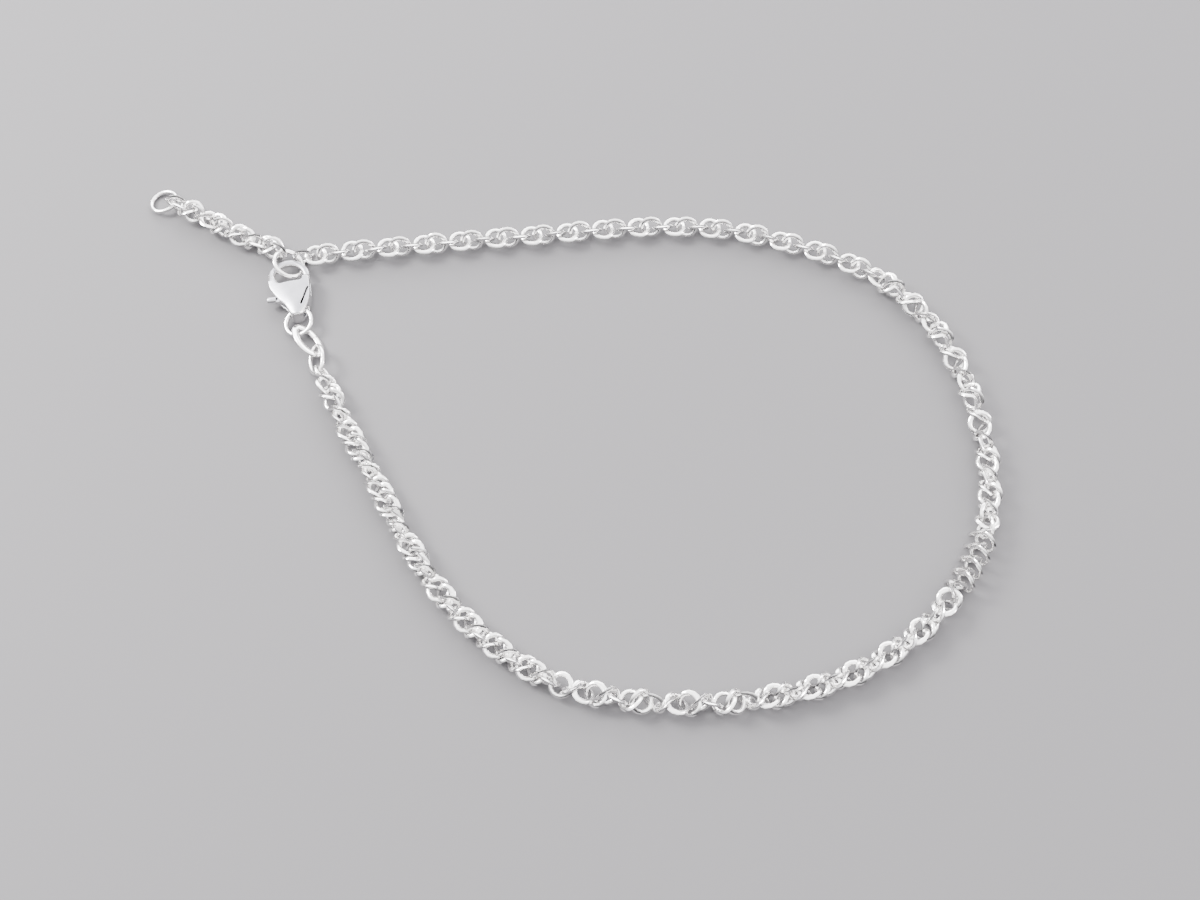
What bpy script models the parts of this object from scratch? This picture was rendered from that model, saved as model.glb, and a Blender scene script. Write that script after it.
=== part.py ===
"""Anklet of twisted silver chain, lying closed: a lobster clasp hooked into the ring between
the main chain and its short tail.  Lengths in the tables below are millimetres; the surface
that the anklet lies on is z = 0, X runs along the long side of the loop."""
import math

import bmesh
import bpy
from mathutils import Matrix, Vector

MM = 0.001

# Chain: round links, each turned a step further about the chain's line.  A link is also given
# a slight twist of its own, and they lean to one side and the other in pairs, so they lie close
LINK_OUTER = 3.0
LINK_WIRE = 0.44
LINK_PITCH = 0.93
LINK_SEGMENTS = 16
LINK_SIDES = 6
TUBE_POINT_SPACING = 6.4
CHAIN_GAP = 0.3
LINK_PLAY = 0.358
TAIL_FIRST_ROLL_DEG = 92.86
TAIL_TURN_DEG = 723.0
TAIL_LEAN_DEG = -16.86
TAIL_TWIST_DEG = -17.81

# Route of the main chain, from the links under the clasp round to the middle ring
MAIN_ROUTE = [
    (-27.2, 6.25), (-24.2, 0.05), (-20.1, -7.25), (-15.5, -15.65), (-10.7, -22.35), (-5, -27.65),
    (2, -31.75), (9.9, -33.35), (16.7, -33.65), (24.1, -32.95), (30.6, -31.35), (36.5, -28.65),
    (42.1, -24.45), (46.7, -18.85), (49.9, -12.25), (50.9, -5.55), (50.5, 1.25), (49, 8.05),
    (46.1, 14.55), (41.6, 19.85), (35.9, 23.55), (29.5, 26.05), (22.3, 27.95), (14.3, 28.55),
    (5.9, 28.05), (-1.7, 27.25), (-9.3, 26.55), (-16.8, 25.75), (-24.3, 24.95), (-31.3, 23.95),
]
# Bend of the tail between the middle ring and the end ring
TAIL_BEND = [(-37.3, 26.2), (-39.8, 27.25), (-43.8, 29.55)]

# Round rings: outer diameter, wire, height of the centre, tilt, and the direction of the rise
SMALL_RING_OUTER = 3.9
SMALL_RING_WIRE = 0.5
END_RING_AT = (-50.4, 33.15)
END_RING_TILT_DEG = 12.0
END_RING_RISE_DEG = -24.0
MIDDLE_RING_OUTER = 4.3
MIDDLE_RING_WIRE = 0.6
MIDDLE_RING_HEIGHT = 1.29
MIDDLE_RING_TILT_DEG = 30.3
MIDDLE_RING_RISE_DEG = 184.0
MIDDLE_RING_SHIFT = (0.21, 0.2)
TAIL_LEAVES_RING_DEG = 126.23
TAIL_HOOK_PLAY = 0.158
RING_SEGMENTS = 28
RING_SIDES = 8

# Links that hang in one another from the clasp's eye to the chain
OVAL_LENGTH = 5.5
OVAL_WIDTH = 3.3
OVAL_BAND = 0.85
OVAL_THICKNESS = 0.46
SECOND_LENGTH = 4.3
SECOND_WIDTH = 3.0
SECOND_WIRE = 0.55
SMALL_LINK_LENGTH = 2.5
SMALL_LINK_WIDTH = 1.9
SMALL_LINK_WIRE = 0.4
CLASP_RING_ASIDE = -0.224
EYE_SEAT = 0.252
# Lie of each: bearing from the one before and play in it, height, then roll, tilt and heading
CLASP_RING_LIE = (1.05, 0.3, -16.4, 29.7)
OVAL_LIE = (-62.05, 0.384, 0.97, -31.1, 1.9, -54.0)
SECOND_LIE = (-64.3, 0.383, 1.19, 44.5, 0.6, -80.7)
SMALL_LINK_LIE = (-66.3, 0.332, 1.5, -48.3, 0.0, -52.0)

# Lobster clasp: its own frame has its origin at the neck, Y towards the hook's top
CLASP_AT = (-31.17, 15.66)
CLASP_TURN_DEG = 13.2
BODY_THICKNESS = 2.4
BODY_WIDTH = 5.2
BODY_LENGTH = 8.05
BODY_EDGE = 0.42
FLOOR_Y = 4.3
FLOOR_CORNER = 0.64
SHOULDER_Y = 5.1
CHEEK_Y = 4.9
HOOK_CENTRE = (-0.45, 5.55)
HOOK_RADIUS = 2.15
HOOK_WIDTH = 0.82
HOOK_THICKNESS = 0.86
HOOK_END_DEG = -5.0
EYE_Y = 0.36
EYE_RADIUS = 0.76
PIVOT = (0.45, 2.15)
PIN_RADIUS = 0.3
PIN_PLAY = 0.06
PIN_COVER = 0.3
LEVER_THICKNESS = 0.6
LEVER_PLAY = 0.07
HUB_RADIUS = 0.6
GATE_SLIT = 0.11
GATE_IN = 0.75
GATE_OUT = 1.55
BAR_LENGTH = 2.9
BAR_WIDTH = 0.93
NUB_RADIUS = 0.46
NUB_STRETCH = 1.6
NUB_TURN_DEG = -7.0
SLIT_WIDTH = 0.24

# Outline of the clasp's body: each row is along, left, right, as shares of length and width
BODY_ROWS = [
    (-0.070, -0.135, 0.085),
    (-0.040, -0.178, 0.125),
    (0.048, -0.215, 0.214),
    (0.150, -0.277, 0.288),
    (0.235, -0.370, 0.328),
    (0.330, -0.455, 0.354),
    (0.450, -0.538, 0.370),
    (0.520, -0.572, 0.376),
]
# Hook from its root in the body to its tip: degrees round the hook's circle (over 180 is
# below its level), then width and thickness as shares of the named ones
HOOK_ROWS = [
    (208.0, 1.62, 2.72),
    (198.0, 1.50, 2.66),
    (188.0, 1.38, 2.46),
    (178.0, 1.27, 2.08),
    (168.0, 1.17, 1.64),
    (158.0, 1.09, 1.30),
    (147.0, 1.04, 1.10),
    (135.0, 1.02, 1.01),
    (120.0, 1.00, 0.98),
    (90.0, 1.00, 0.95),
    (60.0, 1.00, 0.92),
    (30.0, 0.99, 0.88),
    (10.0, 0.98, 0.84),
    (HOOK_END_DEG, 0.96, 0.82),
]
HOOK_SIDES = 12
# Slot for the lever, from the pivot: shares of the body's width and length
SLOT_ROWS = [
    (0.423, 0.118),
    (0.423, 0.400),
    (0.050, 0.400),
    (0.010, 0.323),
    (-0.019, 0.149),
    (-0.577, 0.159),
    (-0.885, 0.168),
    (-0.885, -0.217),
    (-0.462, -0.161),
    (-0.058, -0.089),
    (0.067, -0.084),
    (0.138, -0.019),
]
# Slit behind the spring tongue on the right flank: its two ends in the same shares, from the neck
SLIT_ROWS = [
    (0.100, 0.089),
    (0.325, 0.398),
]
# Sides of the gate, rising: across as a share of its outer or inner edge, up as one of its reach
GATE_OUTER_ROWS = [
    (0.613, 0.225),
    (0.839, 0.480),
    (0.968, 0.690),
]
GATE_INNER_ROWS = [
    (0.987, 0.705),
    (0.693, 0.450),
]
# Thumb bar from the hub out along its top and back along its underside: shares of its length
# and width; the nub's centre is in the same shares
BAR_ROWS = [
    (-0.034, 0.860),
    (-0.655, 1.000),
    (-1.000, 1.054),
    (-1.000, 0.054),
    (-0.655, -0.215),
]
NUB_PLACE = (-1.179, 0.559)


def clear_scene():
    for old in list(bpy.data.objects):
        bpy.data.objects.remove(old, do_unlink=True)


def make_material(name, color, roughness, metallic=1.0):
    material = bpy.data.materials.new(name)
    material.use_nodes = True
    shader = material.node_tree.nodes["Principled BSDF"]
    shader.inputs["Base Color"].default_value = (*color, 1.0)
    shader.inputs["Roughness"].default_value = roughness
    shader.inputs["Metallic"].default_value = metallic
    return material


def add_object(name, bm, material, location=(0, 0, 0), turn=(0, 0, 0), parent=None):
    """Object from a bmesh in millimetres, placed in millimetres and turned in degrees."""
    bmesh.ops.recalc_face_normals(bm, faces=bm.faces)
    bmesh.ops.scale(bm, vec=(MM, MM, MM), verts=bm.verts)
    mesh = bpy.data.meshes.new(name)
    bm.to_mesh(mesh)
    bm.free()
    if material is not None:
        mesh.materials.append(material)
    mesh.shade_smooth()
    mesh.set_sharp_from_angle(angle=math.radians(40))
    obj = bpy.data.objects.new(name, mesh)
    obj.location = [value * MM for value in location]
    obj.rotation_euler = [math.radians(value) for value in turn]
    obj.parent = parent
    bpy.context.collection.objects.link(obj)
    return obj


def loft(bm, sections):
    """Closed skin through sections of equally many points, capped at both ends."""
    loops = [[bm.verts.new(point) for point in section] for section in sections]
    count = len(loops[0])
    for lower, upper in zip(loops, loops[1:]):
        for i in range(count):
            j = (i + 1) % count
            bm.faces.new((lower[i], lower[j], upper[j], upper[i]))
    bm.faces.new(loops[0])
    bm.faces.new(loops[-1])


def closed_link(length, width, band, thickness, segments, sides, twist=0.0):
    """Oval link in its own XY plane; band is its wire across, thickness its wire along Z.
    A twist in degrees turns its far end one way about X and its near end the other."""
    bm = bmesh.new()
    half_length = (length - band) / 2
    half_width = (width - band) / 2
    loops = []
    for i in range(segments):
        turn = 2 * math.pi * i / segments
        middle = Vector((half_length * math.cos(turn), half_width * math.sin(turn), 0))
        outward = Vector((half_width * math.cos(turn), half_length * math.sin(turn), 0)).normalized()
        twisted = Matrix.Rotation(math.radians(twist) * math.cos(turn), 3, "X")
        loop = []
        for k in range(sides):
            angle = 2 * math.pi * (k + 0.5) / sides
            offset = outward * (band / 2 * math.cos(angle))
            offset.z = thickness / 2 * math.sin(angle)
            loop.append(bm.verts.new(twisted @ (middle + offset)))
        loops.append(loop)
    for i in range(segments):
        here, there = loops[i], loops[(i + 1) % segments]
        for k in range(sides):
            j = (k + 1) % sides
            bm.faces.new((here[k], here[j], there[j], there[k]))
    return bm


def add_ring_link(name, length, width, band, thickness, material, centre, turn):
    bm = closed_link(length, width, band, thickness, RING_SEGMENTS, RING_SIDES)
    return add_object(name, bm, material, centre, turn)


def ring_point(centre, outer, wire, tilt, rise, direction):
    """Point of a tilted round ring's wire that lies in a direction seen from above."""
    slope = math.tan(math.radians(tilt))
    radius = (outer - wire) / 2
    bearing = math.radians(direction - rise)
    flat = radius / math.sqrt(1 + (slope * math.cos(bearing)) ** 2)
    towards = Vector((math.cos(math.radians(direction)), math.sin(math.radians(direction)), 0))
    return Vector(centre) + towards * flat + Vector((0, 0, flat * math.cos(bearing) * slope))


def smooth_points(route, steps=24):
    """Catmull-Rom curve through a route's own points, steps to a span."""
    points = [Vector(point) for point in route]
    ends = [2 * points[0] - points[1]] + points + [2 * points[-1] - points[-2]]
    curve = []
    for a, b, c, d in zip(ends, ends[1:], ends[2:], ends[3:]):
        for i in range(steps):
            t = i / steps
            curve.append(0.5 * (2 * b + (c - a) * t + (2 * a - 5 * b + 4 * c - d) * t * t
                                + (3 * b - a - 3 * c + d) * t ** 3))
    curve.append(points[-1])
    return curve


def spaced_points(curve, count):
    """Equally spaced points along a dense curve."""
    lengths = [0.0]
    for a, b in zip(curve, curve[1:]):
        lengths.append(lengths[-1] + (b - a).length)
    points = []
    k = 0
    for i in range(count):
        want = lengths[-1] * i / (count - 1)
        while k < len(curve) - 2 and lengths[k + 1] < want:
            k += 1
        share = (want - lengths[k]) / (lengths[k + 1] - lengths[k])
        points.append(curve[k].lerp(curve[k + 1], share))
    return points


def curve_length(curve):
    return sum((b - a).length for a, b in zip(curve, curve[1:]))


def clasp_point(x, y, z=0.0):
    """A point of the clasp's own frame in the anklet's frame."""
    turn = Matrix.Rotation(math.radians(CLASP_TURN_DEG), 3, "Z")
    return turn @ Vector((x, y, z)) + Vector((*CLASP_AT, 0))


# Chain

def add_main_chain(material, start_centre, start_reach, end_centre, end_reach):
    """Solid that stands for the main chain: a tube along its route, clear of both end pieces."""
    dense = smooth_points(MAIN_ROUTE)
    start = Vector(start_centre[:2])
    end = Vector(end_centre[:2])
    kept = [p for p in dense if (p - start).length > start_reach and (p - end).length > end_reach]
    count = round(curve_length(kept) / TUBE_POINT_SPACING) + 1
    points = spaced_points(kept, count)
    data = bpy.data.curves.new("main_chain", "CURVE")
    data.dimensions = "3D"
    data.bevel_depth = LINK_OUTER / 2 * MM
    data.bevel_resolution = 2
    data.use_fill_caps = True
    spline = data.splines.new("POLY")
    spline.points.add(len(points) - 1)
    for knot, point in zip(spline.points, points):
        knot.co = (point.x * MM, point.y * MM, LINK_OUTER / 2 * MM, 1)
    data.materials.append(material)
    obj = bpy.data.objects.new("main_chain", data)
    bpy.context.collection.objects.link(obj)
    return obj


def add_tail(material, near, far):
    """Short tail of real links, from the middle ring to the end ring."""
    bend = [Vector((x, y)) for x, y in TAIL_BEND]
    dense = smooth_points([near.to_2d(), *bend, far.to_2d()])
    pairs = round((curve_length(dense) / LINK_PITCH + 1) / 2)
    count = 2 * pairs
    points = spaced_points(dense, count)
    lean = TAIL_LEAN_DEG
    for i, point in enumerate(points):
        before = points[max(i - 1, 0)]
        after = points[min(i + 1, count - 1)]
        heading = math.degrees(math.atan2(after.y - before.y, after.x - before.x))
        roll = TAIL_FIRST_ROLL_DEG + TAIL_TURN_DEG * i / (count - 1)
        bm = closed_link(LINK_OUTER, LINK_OUTER, LINK_WIRE, LINK_WIRE, LINK_SEGMENTS, LINK_SIDES,
                         TAIL_TWIST_DEG)
        centre = (point.x, point.y, LINK_OUTER / 2)
        link = add_object(f"tail_link_{i + 1:02d}", bm, material, centre, (roll, lean, heading))
        link.rotation_mode = "YXZ"
        lean = -lean


def add_hanging_link(name, before, size, lie, material):
    """Link that hangs in the one before, given as its centre, half length and band."""
    length, width, band, thickness = size
    bearing, play, height, *turn = lie
    centre_before, reach_before, band_before = before
    reach = (length - band) / 2
    distance = reach_before + reach - (band_before + band) / 2 - play
    towards = Vector((math.cos(math.radians(bearing)), math.sin(math.radians(bearing)), 0))
    centre = centre_before + towards * distance
    centre.z = height
    add_ring_link(name, length, width, band, thickness, material, centre, turn)
    return centre, reach, band


# Clasp

def body_outline():
    """Outline of the body up to the floor of the hook's opening, anticlockwise."""
    right = [(share_right * BODY_WIDTH, along * BODY_LENGTH) for along, _, share_right in BODY_ROWS]
    left = [(share_left * BODY_WIDTH, along * BODY_LENGTH) for along, share_left, _ in BODY_ROWS]
    wall = HOOK_CENTRE[0] - HOOK_RADIUS
    inner = wall + HOOK_WIDTH / 2
    # The cheeks rise a little beside the gate, then the floor runs over to the left wall
    beside = PIVOT[0] + GATE_IN
    rise = CHEEK_Y - FLOOR_Y
    top = [(right[-1][0], CHEEK_Y), (beside, CHEEK_Y), (beside - rise / 4, FLOOR_Y + rise / 4),
           (beside - rise, FLOOR_Y)]
    steps = 4
    for i in range(steps):
        angle = math.pi / 2 * i / steps
        top.append((inner + FLOOR_CORNER * (1 - math.sin(angle)),
                    FLOOR_Y + FLOOR_CORNER * (1 - math.cos(angle))))
    top += [(inner, SHOULDER_Y), (wall - HOOK_WIDTH / 2, SHOULDER_Y)]
    return right + top + left[::-1]


def prism(outline, low, high):
    """Upright prism over an outline."""
    bm = bmesh.new()
    face = bm.faces.new([bm.verts.new((x, y, low)) for x, y in outline])
    grown = bmesh.ops.extrude_face_region(bm, geom=[face])
    rise = [item for item in grown["geom"] if isinstance(item, bmesh.types.BMVert)]
    bmesh.ops.translate(bm, verts=rise, vec=(0, 0, high - low))
    return bm


def cylinder_between(start, end, radius, sides=16):
    """Round bar from one point to another."""
    start, end = Vector(start), Vector(end)
    bm = bmesh.new()
    bmesh.ops.create_cone(bm, cap_ends=True, segments=sides, radius1=radius, radius2=radius,
                          depth=(end - start).length)
    turn = (end - start).to_track_quat("Z", "Y").to_matrix().to_4x4()
    bmesh.ops.transform(bm, matrix=Matrix.Translation((start + end) / 2) @ turn, verts=bm.verts)
    return bm


def hook_sections(middle):
    """Rounded sections of the hook from its root to its tip."""
    sections = []
    last = len(HOOK_ROWS) - 1
    for row, (degrees, width_share, thickness_share) in enumerate(HOOK_ROWS):
        angle = math.radians(degrees)
        centre = Vector((HOOK_CENTRE[0] + HOOK_RADIUS * math.cos(angle),
                         HOOK_CENTRE[1] + HOOK_RADIUS * math.sin(angle), middle))
        across = Vector((math.cos(angle), math.sin(angle), 0))
        if row == last:
            # The tip's end runs square to the line from the lever's pivot, like the gate's
            arm = centre - Vector((*PIVOT, middle))
            across = Vector((arm.y, -arm.x, 0)).normalized()
        section = []
        for k in range(HOOK_SIDES):
            turn = 2 * math.pi * (k + 0.5) / HOOK_SIDES
            bulge = 1 / max(abs(math.cos(turn)), abs(math.sin(turn))) ** 0.35
            section.append(centre + across * (HOOK_WIDTH * width_share / 2 * math.cos(turn) * bulge)
                           + Vector((0, 0, HOOK_THICKNESS * thickness_share / 2 * math.sin(turn) * bulge)))
        sections.append(section)
    return sections


def add_boolean(obj, other, operation):
    cut = obj.modifiers.new(f"{operation.lower()} {other.name}", "BOOLEAN")
    cut.operation = operation
    cut.solver = "EXACT"
    cut.object = other
    other.hide_render = True
    other.display_type = "WIRE"


def slot_outline():
    """Space between the two cheeks in which the lever turns, open at both flanks."""
    x, y = PIVOT
    return [(x + across * BODY_WIDTH, y + along * BODY_LENGTH) for across, along in SLOT_ROWS]


def gate_reach():
    """Distance from the lever's pivot to the gate's top, just clear of the hook's tip."""
    angle = math.radians(HOOK_END_DEG)
    tip = Vector((HOOK_CENTRE[0] + HOOK_RADIUS * math.cos(angle),
                  HOOK_CENTRE[1] + HOOK_RADIUS * math.sin(angle)))
    return (tip - Vector(PIVOT)).length - GATE_SLIT


def lever_outline():
    """Lever seen from above: gate, hub and thumb bar, relative to its pivot."""
    reach = gate_reach()
    outline = [(HUB_RADIUS * math.cos(angle), HUB_RADIUS * math.sin(angle))
               for angle in (-math.pi / 2, -math.pi / 4, 0.0)]
    outline += [(across * GATE_OUT, up * reach) for across, up in GATE_OUTER_ROWS]
    for x in (GATE_OUT, (GATE_OUT + GATE_IN) / 2, GATE_IN):
        outline.append((x, math.sqrt(reach ** 2 - x ** 2)))
    outline += [(across * GATE_IN, up * reach) for across, up in GATE_INNER_ROWS]
    outline += [(along * BAR_LENGTH, across * BAR_WIDTH) for along, across in BAR_ROWS]
    under = HUB_RADIUS * math.sqrt(0.5)
    outline.append((-under, -under))
    return outline


def add_clasp(material, lever_material, pin_material):
    frame = bpy.data.objects.new("clasp_frame", None)
    frame.location = (CLASP_AT[0] * MM, CLASP_AT[1] * MM, 0)
    frame.rotation_euler = (0, 0, math.radians(CLASP_TURN_DEG))
    bpy.context.collection.objects.link(frame)
    middle = BODY_THICKNESS / 2

    body = add_object("clasp_body", prism(body_outline(), 0, BODY_THICKNESS), material, parent=frame)
    edge = body.modifiers.new("rounded edges", "BEVEL")
    edge.width = BODY_EDGE * MM
    edge.segments = 3
    edge.limit_method = "ANGLE"
    edge.angle_limit = math.radians(50)

    hook = bmesh.new()
    loft(hook, hook_sections(middle))
    add_boolean(body, add_object("hook", hook, None, parent=frame), "UNION")

    half_slot = LEVER_THICKNESS / 2 + LEVER_PLAY
    slot = prism(slot_outline(), middle - half_slot, middle + half_slot)
    add_boolean(body, add_object("lever_slot", slot, None, parent=frame), "DIFFERENCE")

    side = BODY_WIDTH
    eye = cylinder_between((-side, EYE_Y, middle), (side, EYE_Y, middle), EYE_RADIUS)
    add_boolean(body, add_object("eye_hole", eye, None, parent=frame), "DIFFERENCE")

    hole_radius = PIN_RADIUS + PIN_PLAY
    hole = cylinder_between((*PIVOT, PIN_COVER - PIN_PLAY), (*PIVOT, BODY_THICKNESS - PIN_COVER + PIN_PLAY),
                            hole_radius)
    add_boolean(body, add_object("pin_hole", hole, None, parent=frame), "DIFFERENCE")

    # Slit on the right flank, behind which a thin spring tongue is left
    low, high = (Vector((across * BODY_WIDTH, along * BODY_LENGTH)) for across, along in SLIT_ROWS)
    aside = (high - low).normalized().orthogonal() * (SLIT_WIDTH / 2)
    outline = [low - aside, high - aside, high + aside, low + aside]
    slit = prism([(p.x, p.y) for p in outline], -BODY_THICKNESS, 2 * BODY_THICKNESS)
    add_boolean(body, add_object("flank_slit", slit, None, parent=frame), "DIFFERENCE")

    half = LEVER_THICKNESS / 2
    lever = add_object("clasp_lever", prism(lever_outline(), -half, half), lever_material,
                       (*PIVOT, middle), parent=frame)
    nub = bmesh.new()
    bmesh.ops.create_uvsphere(nub, u_segments=12, v_segments=8, radius=NUB_RADIUS)
    along, across = NUB_PLACE
    place = Matrix.Translation((along * BAR_LENGTH, across * BAR_WIDTH, 0))
    place = place @ Matrix.Rotation(math.radians(NUB_TURN_DEG), 4, "Z")
    bmesh.ops.transform(nub, matrix=place @ Matrix.Diagonal((NUB_STRETCH, 1.0, 1.0, 1.0)), verts=nub.verts)
    add_boolean(lever, add_object("thumb_nub", nub, None, (*PIVOT, middle), parent=frame), "UNION")
    bore = cylinder_between((0, 0, -LEVER_THICKNESS), (0, 0, LEVER_THICKNESS), hole_radius)
    add_boolean(lever, add_object("lever_bore", bore, None, (*PIVOT, middle), parent=frame), "DIFFERENCE")

    pin = cylinder_between((0, 0, PIN_COVER - middle), (0, 0, middle - PIN_COVER), PIN_RADIUS)
    add_object("lever_pin", pin, pin_material, (*PIVOT, middle), parent=frame)


def build():
    clear_scene()
    bright = make_material("bright_silver", (0.93, 0.93, 0.94), 0.14)
    satin = make_material("satin_silver", (0.86, 0.86, 0.89), 0.32)
    steel = make_material("pin_steel", (0.62, 0.62, 0.64), 0.3)

    add_clasp(satin, satin, steel)

    ring_reach = (SMALL_RING_OUTER - SMALL_RING_WIRE) / 2
    height, *turn = CLASP_RING_LIE
    centre = clasp_point(CLASP_RING_ASIDE, EYE_Y + EYE_SEAT - ring_reach, height)
    add_ring_link("clasp_ring", SMALL_RING_OUTER, SMALL_RING_OUTER, SMALL_RING_WIRE, SMALL_RING_WIRE,
                  bright, centre, turn)
    before = (centre, ring_reach, SMALL_RING_WIRE)
    oval = (OVAL_LENGTH, OVAL_WIDTH, OVAL_BAND, OVAL_THICKNESS)
    before = add_hanging_link("connector_link", before, oval, OVAL_LIE, bright)
    second = (SECOND_LENGTH, SECOND_WIDTH, SECOND_WIRE, SECOND_WIRE)
    before = add_hanging_link("second_link", before, second, SECOND_LIE, bright)
    small = (SMALL_LINK_LENGTH, SMALL_LINK_WIDTH, SMALL_LINK_WIRE, SMALL_LINK_WIRE)
    chain_start = add_hanging_link("chain_end_link", before, small, SMALL_LINK_LIE, bright)[0]

    # The middle ring sits round the hook, under its tip and over its far arm
    middle_ring = clasp_point(HOOK_CENTRE[0] + MIDDLE_RING_SHIFT[0],
                              HOOK_CENTRE[1] + (MIDDLE_RING_OUTER - MIDDLE_RING_WIRE) / 2
                              + MIDDLE_RING_SHIFT[1], MIDDLE_RING_HEIGHT)
    add_ring_link("middle_ring", MIDDLE_RING_OUTER, MIDDLE_RING_OUTER, MIDDLE_RING_WIRE, MIDDLE_RING_WIRE,
                  bright, middle_ring, (0, -MIDDLE_RING_TILT_DEG, MIDDLE_RING_RISE_DEG))
    end_lift = SMALL_RING_WIRE / 2 + (SMALL_RING_OUTER - SMALL_RING_WIRE) / 2 * math.sin(
        math.radians(END_RING_TILT_DEG))
    end_ring = Vector((*END_RING_AT, end_lift))
    add_ring_link("end_ring", SMALL_RING_OUTER, SMALL_RING_OUTER, SMALL_RING_WIRE, SMALL_RING_WIRE,
                  bright, end_ring, (0, -END_RING_TILT_DEG, END_RING_RISE_DEG))

    add_main_chain(bright, chain_start, SMALL_LINK_LENGTH / 2 + CHAIN_GAP,
                   middle_ring, MIDDLE_RING_OUTER / 2 + CHAIN_GAP)
    reach = (LINK_OUTER - LINK_WIRE) / 2
    leaves = ring_point(middle_ring, MIDDLE_RING_OUTER, MIDDLE_RING_WIRE, MIDDLE_RING_TILT_DEG,
                        MIDDLE_RING_RISE_DEG, TAIL_LEAVES_RING_DEG)
    outward = (leaves - middle_ring).to_2d().normalized().to_3d()
    near = leaves + outward * (reach - (MIDDLE_RING_WIRE + LINK_WIRE) / 2 - TAIL_HOOK_PLAY)
    arrives = ring_point(end_ring, SMALL_RING_OUTER, SMALL_RING_WIRE, END_RING_TILT_DEG,
                         END_RING_RISE_DEG, END_RING_RISE_DEG)
    outward = (arrives - end_ring).to_2d().normalized().to_3d()
    far = arrives + outward * (reach - (SMALL_RING_WIRE + LINK_WIRE) / 2 - LINK_PLAY)
    add_tail(bright, near, far)


build()
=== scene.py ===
"""Looks of the twisted silver anklet: its fine links, rings and clasp, on a plain pale table.
Lengths named in the tables are millimetres; everything is made in metres in the part's frame."""
import math

import bmesh
import bpy
from mathutils import Euler, Matrix, Vector


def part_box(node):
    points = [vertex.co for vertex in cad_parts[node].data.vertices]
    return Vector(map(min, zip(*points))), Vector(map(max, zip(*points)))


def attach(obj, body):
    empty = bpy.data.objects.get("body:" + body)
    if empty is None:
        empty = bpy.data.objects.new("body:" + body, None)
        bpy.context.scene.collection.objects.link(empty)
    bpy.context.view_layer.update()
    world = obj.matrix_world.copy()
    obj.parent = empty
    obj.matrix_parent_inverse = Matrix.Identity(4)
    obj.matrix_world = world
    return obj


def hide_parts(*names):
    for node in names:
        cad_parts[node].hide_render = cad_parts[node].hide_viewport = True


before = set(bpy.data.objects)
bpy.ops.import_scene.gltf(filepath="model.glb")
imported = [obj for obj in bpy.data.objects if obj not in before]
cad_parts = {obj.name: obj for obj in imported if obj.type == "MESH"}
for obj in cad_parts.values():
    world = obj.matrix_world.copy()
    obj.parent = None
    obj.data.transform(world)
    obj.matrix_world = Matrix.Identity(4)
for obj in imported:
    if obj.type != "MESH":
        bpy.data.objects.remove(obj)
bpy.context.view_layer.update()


# Main chain
# A run of round silver wire links, each soldered shut, given a slight twist and hooked through
# its neighbours, so that the whole run turns like a ribbon.  Drawn loosely it shows two open
# rings to each half turn; where it is pushed together the links lean over and crowd.
MM = 0.001
LINK_OUTER = 2.96
LINK_WIRE = 0.6
LINK_FLATTENING = 0.84
LINK_SEGMENTS = 16
LINK_SIDES = 5
LINK_HEIGHT = 1.5
LINK_JITTER_DEG = 4.0
CHAIN_SEED = 7
WAIST_ROLL_DEG = 90.0
WAIST_TILT = 0.51
SHARP_DEG = 75

# Route from the small link under the clasp round to the middle ring, as the solid has it
CHAIN_ROUTE = [
    (-27.2, 6.25), (-24.2, 0.05), (-20.1, -7.25), (-15.5, -15.65), (-10.7, -22.35), (-5, -27.65),
    (2, -31.75), (9.9, -33.35), (16.7, -33.65), (24.1, -32.95), (30.6, -31.35), (36.5, -28.65),
    (42.1, -24.45), (46.7, -18.85), (49.9, -12.25), (50.9, -5.55), (50.5, 1.25), (49, 8.05),
    (46.1, 14.55), (41.6, 19.85), (35.9, 23.55), (29.5, 26.05), (22.3, 27.95), (14.3, 28.55),
    (5.9, 28.05), (-1.7, 27.25), (-9.3, 26.55), (-16.8, 25.75), (-24.3, 24.95), (-31.3, 23.95),
]

# How the run lies, from the clasp round: how many times, then the length, the number of links
# and the degrees turned each time, each link's own twist and lean in degrees, and how far the
# links lie to one side and the other in turn
CHAIN_STRETCHES = [
    (1, 5.1, 5, 180, -28, 16, 0),
    (1, 8.3, 9, 180, -45, 16, 0),
    (1, 9.2, 10, 180, -46, 16, 0),
    (1, 6.1, 7, 180, -38, 17, 0),
    (1, 5.0, 5, 180, -28, 16, 0),
    (3, 4.4, 5, 180, -28, 18, 0),
    (1, 2.7, 2, 180, 0, 8, 0),
    (4, 5.0, 4, 180, -14, 28, 0),
    (5, 4.55, 5, 180, -28, 17, 0),
    (1, 4.0, 4, 180, -14, 22, 0),
    (1, 8.2, 9, 24, 0, 62, 0.42),
    (1, 2.4, 3, 150, -14, 22, 0),
    (2, 4.4, 5, 180, -28, 18, 0),
    (6, 4.42, 4, 180, -14, 26, 0),
    (16, 4.5, 3, 180, 0, 3, 0),
]


def smooth_route(points, steps=24):
    """Catmull-Rom curve through a route's own points, as dense points in millimetres."""
    knots = [Vector(point) for point in points]
    knots = [2 * knots[0] - knots[1]] + knots + [2 * knots[-1] - knots[-2]]
    curve = []
    for a, b, c, d in zip(knots, knots[1:], knots[2:], knots[3:]):
        for i in range(steps):
            t = i / steps
            curve.append(0.5 * (2 * b + (c - a) * t + (2 * a - 5 * b + 4 * c - d) * t * t
                                + (3 * b - a - 3 * c + d) * t ** 3))
    curve.append(knots[-2])
    return curve


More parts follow.
